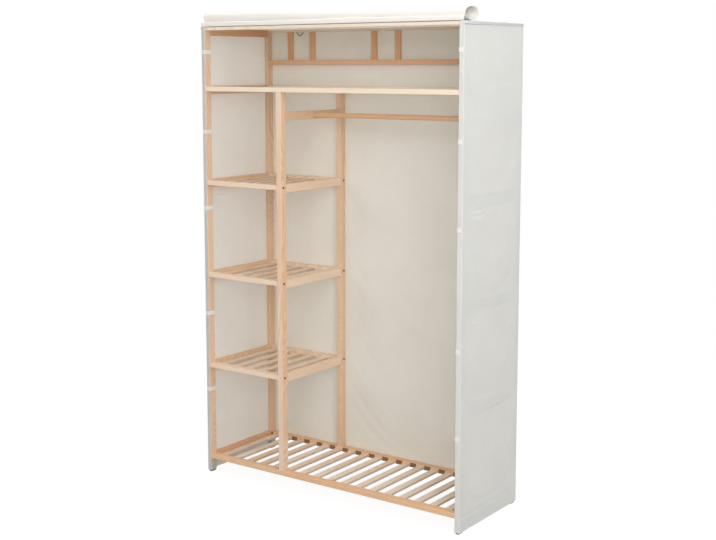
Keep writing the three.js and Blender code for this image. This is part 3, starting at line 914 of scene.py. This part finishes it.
def door():
    half = roll_high.x - DOOR_INSET
    columns = stations(-half, half, 0.0095)
    sections = {x + half: door_section(x) for x in columns}
    middle = sections[min(sections, key=lambda u: abs(u - half))]
    marks = [0]
    for before, after in zip(middle, middle[1:]):
        marks.append(marks[-1] + (after - before).length)
    index_at = {mark: index for index, mark in enumerate(marks)}

    def place(u, v):
        x = u - half
        point = sections[u][index_at[v]]
        wound = index_at[v] / TURN_STEPS
        end = 0.003 * noise.noise(Vector((wound * 0.9, math.copysign(3, x), 1)))
        inner = -0.016 * ease(wound, 0.9, 2.2) - 0.006 * ease(wound, 4, 9)
        return Vector((x + math.copysign(1, x) * (end + inner) * ease(abs(x), half * 0.7, half),
                       roll_low.y + DOOR_CLOTH / 2 + point.x, COVER_TOP + DOOR_LIES + point.y))

    sheet = lay_sheet("door", list(sections), marks, place)
    thicken(sheet, DOOR_CLOTH, 0)
    sheet.data.materials.append(door_cloth)
    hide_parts("door_roll")
    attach(sheet, "door_roll")
    print("door cut", round(2 * half, 3), "by", round(marks[-1], 3), "m,", len(sheet.data.polygons), "faces")
    return sheet


door_sheet = door()

# %% [markdown]
# ## Stitches
#
# A seam is a row of stitches, each a short run of thread whose ends dip into the cloth. One stitch
# is modelled from a small sphere, and a row repeats its few faces along a line. Every stitch is
# snapped to the finished sheet and turned to lie on it, so the thread follows each fold.

# %% Stitches
STITCH_PITCH = 0.0036
STITCH_SIZE = (0.0029, 0.00062, 0.0005)


def stitch_blank():
    """One stitch, along X"""
    deselect()
    bpy.ops.mesh.primitive_uv_sphere_add(segments=6, ring_count=4, radius=0.5, rotation=(0, math.pi / 2, 0))
    stitch = bpy.context.object
    bpy.ops.object.transform_apply(location=True, rotation=True, scale=True)
    stitch.scale = STITCH_SIZE
    bpy.ops.object.transform_apply(location=True, rotation=True, scale=True)
    return stitch


def spaced(line, pitch):
    """Points a pitch apart along a line, each with the line's direction there"""
    left = pitch / 2
    for start, end in zip(line, line[1:]):
        run = end - start
        while left < run.length:
            yield start + run.normalized() * left, run.normalized()
            left += pitch
        left -= run.length


def stitch_row(name, sheet, line, body="wardrobe"):
    """A row of stitches on a sheet, along a line just outside it"""
    shape = [point.co.copy() for point in stitch.data.vertices]
    sides = [tuple(face.vertices) for face in stitch.data.polygons]
    points, faces = [], []
    for spot, ahead in spaced(line, STITCH_PITCH):
        at, normal = sheet.closest_point_on_mesh(spot)[1:3]
        aside = normal.cross(ahead).normalized()
        along = aside.cross(normal)
        faces.extend([len(points) + index for index in side] for side in sides)
        points.extend(at + along * co.x + aside * co.y + normal * (co.z + 0.0001) for co in shape)
    mesh = bpy.data.meshes.new(name)
    mesh.from_pydata(points, [], faces)
    mesh.materials.append(white_thread)
    row = bpy.data.objects.new(name, mesh)
    bpy.context.collection.objects.link(row)
    make_active(row)
    bpy.ops.object.shade_smooth()
    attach(row, body)
    return row


stitch = stitch_blank()
bpy.context.view_layer.update()
rows = []
OFF = 0.003
for side, sign in (("left", -1), ("right", 1)):
    sheet = side_sheets[side]
    hem_line = SIDE_HEM + HEM - SEAM_INSET
    outside = sign * (COVER_SIDE + OFF)
    rows.append(stitch_row(f"stitches_{side}_hem", sheet, [
        Vector((outside, COVER_FRONT + SEAM_INSET, hem_line)),
        Vector((outside, COVER_BACK - SEAM_INSET, hem_line))]))
    levels = stations(SIDE_HEM + SEAM_INSET, COVER_TOP - SEAM_INSET, 0.02)
    rows.append(stitch_row(f"stitches_{side}_facing", sheet, [
        Vector((sign * (COVER_SIDE - facing_width(side, z) + SEAM_INSET), COVER_FRONT - OFF, z))
        for z in levels]))
    lip_line = COVER_TOP - LIP + 0.003
    rows.append(stitch_row(f"stitches_{side}_lip", roof_sheet, [
        Vector((outside + sign * OFF, COVER_FRONT + SEAM_INSET, lip_line)),
        Vector((outside + sign * OFF, COVER_BACK - SEAM_INSET, lip_line))]))
    corner = sign * (COVER_SIDE - SEAM_INSET)
    rows.append(stitch_row(f"stitches_{side}_corner", rear_sheet, [
        Vector((corner, COVER_BACK + OFF, BACK_HEM + SEAM_INSET)),
        Vector((corner, COVER_BACK + OFF, COVER_TOP - SEAM_INSET))]))
for name, level in (("hem", BACK_HEM + HEM - SEAM_INSET), ("head", COVER_TOP - SEAM_INSET)):
    rows.append(stitch_row(f"stitches_rear_{name}", rear_sheet, [
        Vector((-COVER_SIDE, COVER_BACK + OFF, level)), Vector((COVER_SIDE, COVER_BACK + OFF, level))]))
rows.append(stitch_row("stitches_roof_back", roof_sheet, [
    Vector((-COVER_SIDE, COVER_BACK - SEAM_INSET, COVER_TOP + OFF)),
    Vector((COVER_SIDE, COVER_BACK - SEAM_INSET, COVER_TOP + OFF))]))
for side, sign in (("left", -1), ("right", 1)):
    x = sign * (roll_high.x - 0.016)
    turn = door_section(x)[LEAD_STEPS + 2:LEAD_STEPS + TURN_STEPS - 2]
    centre = sum(turn, Vector((0, 0))) / len(turn)
    line = [point + (point - centre).normalized() * DOOR_CLOTH for point in turn]
    rows.append(stitch_row(f"stitches_{side}_door", door_sheet, [
        Vector((x, roll_low.y + DOOR_CLOTH / 2 + point.x, COVER_TOP + DOOR_LIES + point.y)) for point in line],
        "door_roll"))
bpy.data.objects.remove(stitch)
print(len(rows), "rows of stitches,", sum(len(row.data.polygons) for row in rows), "faces")

# %% [markdown]
# ## The bolts
#
# The divider is bolted through its posts into the ends of the column's shelves. Six dull heads show
# on its right side. One is turned from a cylinder, its rim rounded by a bevel and its hexagon socket
# cut by a Boolean, and the six are copies of it.


# %% The bolts
BOLT_RADIUS, BOLT_HEIGHT = 0.0042, 0.0024
SOCKET_RADIUS, SOCKET_HEIGHT = 0.0020, 0.003
BOLT_INSET = 0.0125


def bolt_blank():
    """A socket bolt's head with its underside at the origin, looking along X"""
    deselect()
    bpy.ops.mesh.primitive_cylinder_add(vertices=32, radius=BOLT_RADIUS, depth=BOLT_HEIGHT,
                                        location=(BOLT_HEIGHT / 2, 0, 0), rotation=(0, math.pi / 2, 0))
    bolt = bpy.context.object
    bpy.ops.object.transform_apply(location=True, rotation=True, scale=True)
    rim = bolt.modifiers.new("rim", "BEVEL")
    rim.width = 0.0008
    rim.segments = 3
    bpy.ops.object.modifier_apply(modifier="rim")
    deselect()
    bpy.ops.mesh.primitive_cylinder_add(vertices=6, radius=SOCKET_RADIUS, depth=SOCKET_HEIGHT,
                                        location=(BOLT_HEIGHT, 0, 0), rotation=(0, math.pi / 2, 0))
    key = bpy.context.object
    bpy.ops.object.transform_apply(location=True, rotation=True, scale=True)
    make_active(bolt)
    socket = bolt.modifiers.new("socket", "BOOLEAN")
    socket.operation = "DIFFERENCE"
    socket.object = key
    bpy.ops.object.modifier_apply(modifier="socket")
    bpy.data.objects.remove(key)
    bolt.data.materials.clear()
    bolt.data.materials.append(dull_steel)
    return bolt


bolt = bolt_blank()
divider_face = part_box("divider_post_front")[1].x
bolts = []
for shelf in ("upper", "middle", "lower"):
    shelf_low, shelf_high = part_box(f"column_shelf_{shelf}")
    for place, y in (("front", FRONT + BOLT_INSET), ("back", BACK - BOLT_INSET)):
        mesh = bolt.data.copy()
        for point in mesh.vertices:
            point.co += Vector((divider_face, y, (shelf_low.z + shelf_high.z) / 2))
        head = bpy.data.objects.new(f"bolt_{shelf}_{place}", mesh)
        bpy.context.collection.objects.link(head)
        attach(head, "wardrobe")
        make_active(head)
        bpy.ops.object.shade_smooth_by_angle(angle=math.radians(40))
        bolts.append(head)
bpy.data.objects.remove(bolt)
print(len(bolts), "bolts")

# %% [markdown]
# ## The straps
#
# Ten short straps of hook-and-loop tape hold the facings round the front posts. One is modelled from
# a block: a thin plate over the post's front, bisected near its end, where it is extruded back
# along the post's inner face. Bevels round its cut edges, and a few small moves bow it. The ten are
# copies of it, each with its own mesh.


# %% The straps
TAPE = 0.0013


def select_faces(piece, wanted):
    bpy.ops.mesh.select_all(action="DESELECT")
    bpy.ops.object.mode_set(mode="OBJECT")
    for face in piece.data.polygons:
        face.select = bool(wanted(face))
    bpy.ops.object.mode_set(mode="EDIT")
    bpy.ops.mesh.select_mode(type="FACE")


def strap_blank():
    """One strap at the left post's first place, as a mesh"""
    low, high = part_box("strap_left_1")
    thick = TAPE
    deselect()
    middle = ((low.x + high.x) / 2, low.y + thick / 2, (low.z + high.z) / 2)
    bpy.ops.mesh.primitive_cube_add(size=1, location=middle, scale=(high.x - low.x, thick, high.z - low.z))
    strap = bpy.context.object
    bpy.ops.object.transform_apply(location=True, rotation=True, scale=True)
    bpy.ops.object.mode_set(mode="EDIT")
    bpy.ops.mesh.select_all(action="SELECT")
    bpy.ops.mesh.bisect(plane_co=(high.x - thick, 0, 0), plane_no=(1, 0, 0))
    select_faces(strap, lambda face: face.normal.y > 0.9 and face.center.x > high.x - thick)
    bpy.ops.mesh.extrude_region_move(TRANSFORM_OT_translate={"value": (0, high.y - low.y - thick, 0)})
    bpy.ops.mesh.select_all(action="SELECT")
    bpy.ops.mesh.subdivide(number_cuts=3)
    bpy.ops.object.mode_set(mode="OBJECT")
    edge = strap.modifiers.new("edge", "BEVEL")
    edge.width = 0.0004
    edge.segments = 2
    edge.limit_method = "ANGLE"
    bpy.ops.object.modifier_apply(modifier="edge")
    for point in strap.data.vertices:
        run = (point.co.x - low.x) / (high.x - low.x)
        point.co.y -= 0.0009 * math.sin(math.pi * run) * (point.co.y < low.y + thick + 0.0002)
    return strap


blank = strap_blank()
blank_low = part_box("strap_left_1")[0].copy()
straps = []
for side, sign in (("left", -1), ("right", 1)):
    for number in range(1, 6):
        name = f"strap_{side}_{number}"
        low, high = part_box(name)
        mesh = blank.data.copy()
        for point in mesh.vertices:
            tilt = 0.0011 * noise.noise(Vector((number * 3.7, sign, 0))) * (point.co.x - blank_low.x) / 0.02
            point.co.z += low.z - blank_low.z + tilt
            point.co.x *= -sign
        if sign > 0:
            mesh.flip_normals()
        mesh.materials.append(loop_tape)
        piece = bpy.data.objects.new(f"tape_{side}_{number}", mesh)
        bpy.context.collection.objects.link(piece)
        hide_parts(name)
        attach(piece, name)
        make_active(piece)
        bpy.ops.object.shade_smooth_by_angle(angle=math.radians(40))
        straps.append(piece)
bpy.data.objects.remove(blank)
print(len(straps), "straps")

# %% [markdown]
# ## The tie loop
#
# A short loop of dark braided cord hangs under the back top rail, where the cover can be tied to it.
# It is a grid wrapped round its path, with a UV map in metres that its braid follows.

# %% The tie loop
CORD_RADIUS = 0.0015
loop_low, loop_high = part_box("cover_tie_loop")


def tie_loop():
    middle = (loop_low + loop_high) / 2
    sides, steps, radius = 8, 40, CORD_RADIUS
    half = (loop_high.x - loop_low.x) / 2 - radius
    drop = loop_high.z - loop_low.z - radius
    path = []
    for step in range(steps + 1):
        angle = math.pi * step / steps
        fall = (1 - abs(math.cos(angle)) ** 1.3) ** 0.8
        path.append(Vector((middle.x - half * math.cos(angle), middle.y + 0.0015 * math.sin(3 * angle),
                            loop_high.z - drop * fall)))
    length = sum((b - a).length for a, b in zip(path, path[1:]))
    across = [index / sides for index in range(sides + 1)]
    along = [index / steps for index in range(steps + 1)]

    def place(u, v):
        index = round(v * steps)
        ahead = (path[min(index + 1, steps)] - path[max(index - 1, 0)]).normalized()
        aside = Vector((0, 1, 0))
        over = ahead.cross(aside).normalized()
        turn = 2 * math.pi * u
        return path[index] + (aside * math.cos(turn) + over * math.sin(turn)) * radius

    cord = lay_sheet("tie_cord", across, along, place)
    layer = cord.data.uv_layers.active.data
    for corner in layer:
        corner.uv = (corner.uv[0] * 2 * math.pi * radius, corner.uv[1] * length)
    make_active(cord)
    bpy.ops.object.mode_set(mode="EDIT")
    bpy.ops.mesh.select_all(action="SELECT")
    bpy.ops.mesh.remove_doubles(threshold=0.00001)
    bpy.ops.mesh.fill_holes(sides=0)
    bpy.ops.mesh.normals_make_consistent(inside=False)
    bpy.ops.object.mode_set(mode="OBJECT")
    bpy.ops.object.shade_smooth_by_angle(angle=math.radians(60))
    cord.data.materials.append(braided_cord)
    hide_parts("cover_tie_loop")
    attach(cord, "wardrobe")
    print("tie loop", round(length, 3), "m")


tie_loop()

# %% [markdown]
# ## The floor and the light
#
# The photograph is a product shot: white all round, with light from a large soft source in front
# and a little above, and pale shadows. The floor looks white to the camera but still takes the
# shadow, because only part of its light is its own. The backdrop is the world, white to the camera
# and dimmer to the object, so the colours come out about as they are written.

# %% The floor and the light
deselect()
bpy.ops.mesh.primitive_plane_add(size=60, location=(0, 0, 0))
floor = bpy.context.object
floor.name = "studio_floor"


def floor_material():
    made, tree, surface = new_material("studio_floor", 0.9)
    path = add(tree, "LightPath")
    seen = maths(tree, "MAXIMUM", path.outputs["Is Camera Ray"], path.outputs["Is Glossy Ray"])
    feed(tree, surface.inputs["Base Color"], blend_colours(tree, seen, (0.55, 0.55, 0.55, 1), (1, 1, 1, 1)))
    place = place_of(tree)
    away = add(tree, "VectorMath", {"operation": "LENGTH"}, Vector=place).outputs["Value"]
    glow = add(tree, "Emission", None, Color=(1, 1, 1, 1), Strength=spread(tree, away, 1.2, 3.2, 1.06, 1.0))
    share = maths(tree, "MULTIPLY", seen, spread(tree, away, 1.2, 3.2, 0.86, 1.0))
    both = add(tree, "MixShader")
    feed(tree, both.inputs[0], share)
    feed(tree, both.inputs[1], surface.outputs[0])
    feed(tree, both.inputs[2], glow.outputs[0])
    feed(tree, tree.nodes["Material Output"].inputs["Surface"], both.outputs[0])
    return made


floor.data.materials.append(floor_material())

world = bpy.data.worlds.new("studio")
bpy.context.scene.world = world
world.use_nodes = True
sky = world.node_tree
backdrop = sky.nodes["Background"]
path = add(sky, "LightPath")
seen = maths(sky, "MAXIMUM", path.outputs["Is Camera Ray"],
             maths(sky, "MAXIMUM", path.outputs["Is Glossy Ray"], path.outputs["Is Transmission Ray"]))
feed(sky, backdrop.inputs["Color"], blend_colours(sky, seen, (1, 0.93, 0.87, 1), (1, 1, 1, 1)))
feed(sky, backdrop.inputs["Strength"], spread(sky, seen, 0.0, 1.0, 0.22, 1.0))


def lamp(name, location, target, size, watts, colour):
    deselect()
    bpy.ops.object.light_add(type="AREA", location=location)
    light = bpy.context.object
    light.name = name
    light.rotation_euler = (Vector(target) - Vector(location)).to_track_quat("-Z", "Y").to_euler()
    light.data.shape = "RECTANGLE"
    light.data.size, light.data.size_y = size
    light.data.energy = watts
    light.data.color = colour


# Name, place, what it looks at, size, watts and colour
for row in (
    ("key_front_right", (2.9, -3.7, 2.2), (0, 0, 1.25), (3.2, 2.6), 101, (1.0, 0.98, 0.96)),
    ("side_high", (2.4, -1.0, 3.1), (0.5, 0, 1.5), (1.8, 1.6), 32, (0.98, 0.99, 1.0)),
    ("front_left", (-2.2, -3.5, 3.2), (0, 0, 0.9), (3.0, 2.4), 45, (1.0, 0.965, 0.935)),
    ("overhead", (0, 0.3, 4.2), (0, 0, 1.7), (2.5, 2.0), 48, (1.0, 0.97, 0.94)),
    ("rear_left", (-2.6, 2.6, 3.2), (0, 0, 1.7), (2.2, 1.8), 80, (1.0, 0.97, 0.94)),
    ("rear_right", (2.2, 3.8, 2.4), (0, 0, 1.0), (2.5, 2.0), 34, (1.0, 0.98, 0.96)),
):
    lamp(*row)

# %% [markdown]
# ## Bringing the scene up to date
#
# The view layer is updated, so that every piece stands where it was put. The visual model has to
# stay in the CAD model's box, apart from the little that cloth may stand proud of it.

# %% Bringing the scene up to date
bpy.context.view_layer.update()
